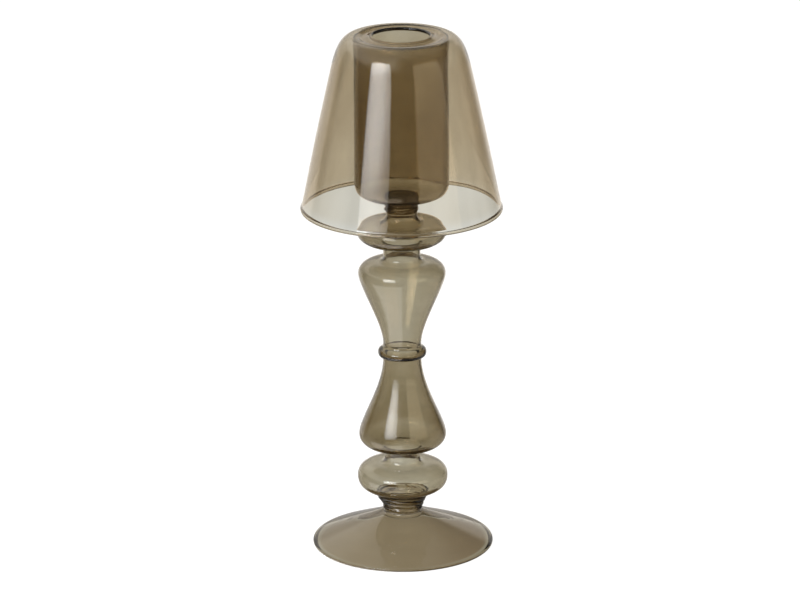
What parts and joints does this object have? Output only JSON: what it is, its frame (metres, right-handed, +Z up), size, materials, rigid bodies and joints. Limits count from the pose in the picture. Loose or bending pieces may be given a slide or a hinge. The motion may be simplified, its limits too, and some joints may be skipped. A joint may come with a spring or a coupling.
{
  "type": "hurricane candle holder",
  "caption": "Tall smoke-brown blown-glass candle holder: turned hollow stem on a wide domed foot, straight candle cup, and a lift-off glass lampshade with a vent.",
  "frame": {"origin": "middle of the foot's underside, on the table", "axes": "+Z up along the axis that every piece is turned about; X and Y are alike, and +X is the right of the picture"},
  "size_m": [0.1596, 0.1596, 0.4199],
  "materials": {
    "smoke_glass": "fire-polished, clear smoke-brown",
    "shade_glass": "fire-polished, clear smoke-brown"
  },
  "bodies": {
    "holder": {"foot": "smoke_glass", "foot_merese": "smoke_glass", "lower_knop": "smoke_glass", "lower_baluster": "smoke_glass", "collar": "smoke_glass", "upper_baluster": "smoke_glass", "upper_knop": "smoke_glass", "cup_merese": "smoke_glass", "candle_cup": "smoke_glass"},
    "lampshade": {"shade": "shade_glass"}
  },
  "joints": [
    {"name": "shade_lift", "type": "slide", "parent": "holder", "child": "lampshade", "axis": [0, 0, 1], "range_m": [0, 0.16]}
  ]
}
